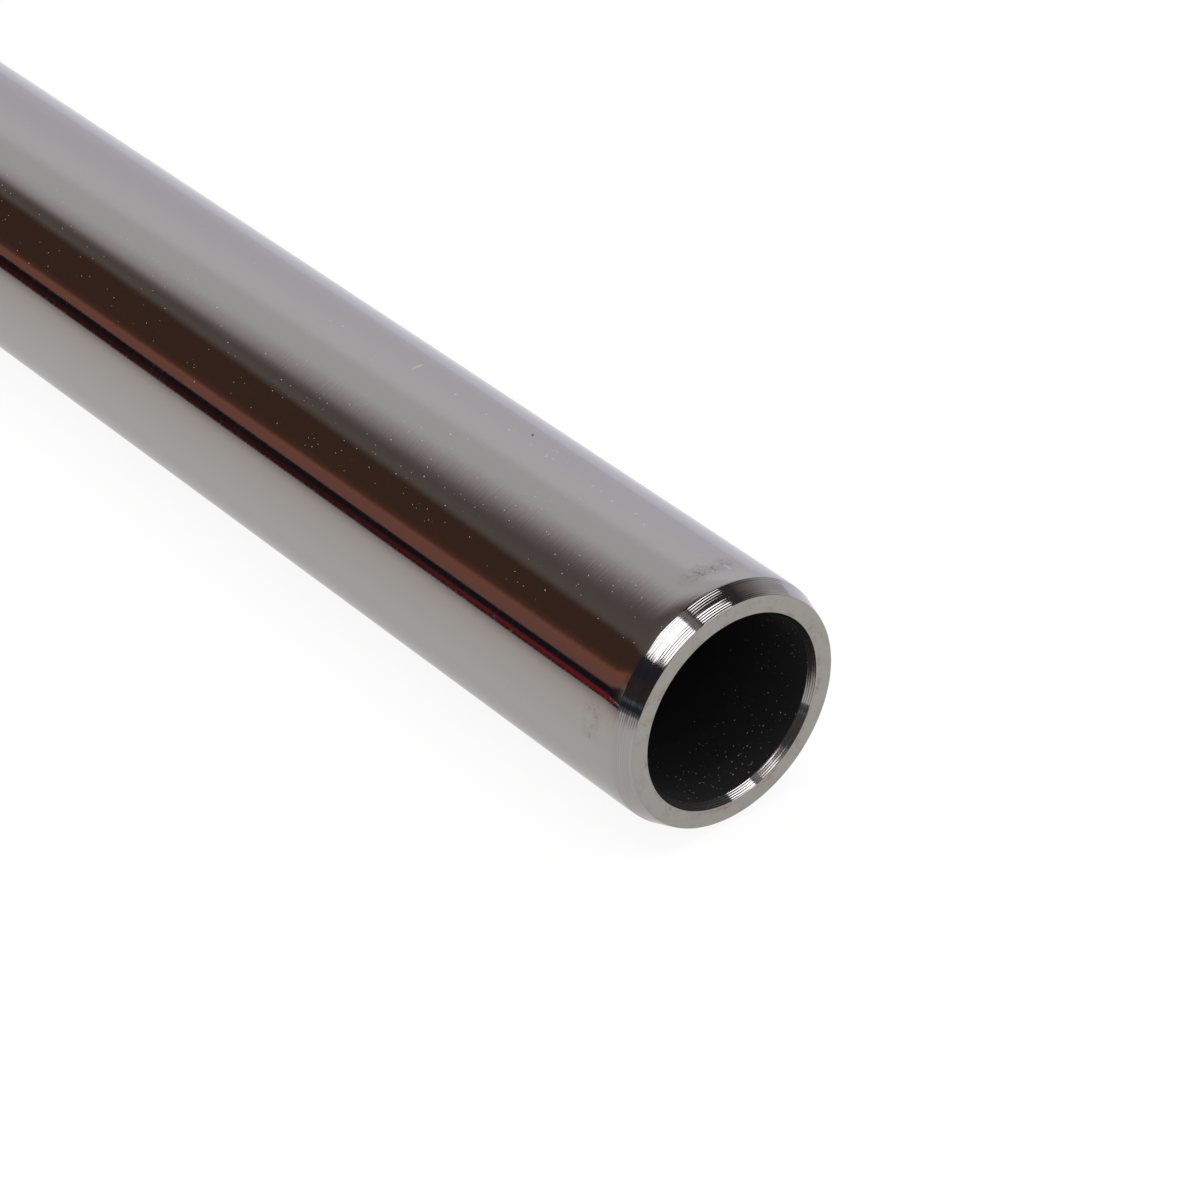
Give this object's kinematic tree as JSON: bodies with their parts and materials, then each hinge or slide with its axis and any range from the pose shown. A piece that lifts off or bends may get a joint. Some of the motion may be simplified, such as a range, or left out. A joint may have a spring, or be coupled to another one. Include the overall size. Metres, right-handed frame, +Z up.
{
  "type": "plated metal hard tube",
  "caption": "Straight round metal hard tube in a mirror-polished dark plating, with a turned outer chamfer, a flat end face and a small inner bevel at each end.",
  "frame": {"origin": "on the floor under the middle of the tube", "axes": "+X along the tube's axis, +Z up, with the tube lying on the plane z = 0"},
  "size_m": [0.4, 0.013, 0.013],
  "materials": {
    "dark_plating": "polished"
  },
  "bodies": {
    "root": {"tube": "dark_plating"}
  },
  "joints": []
}
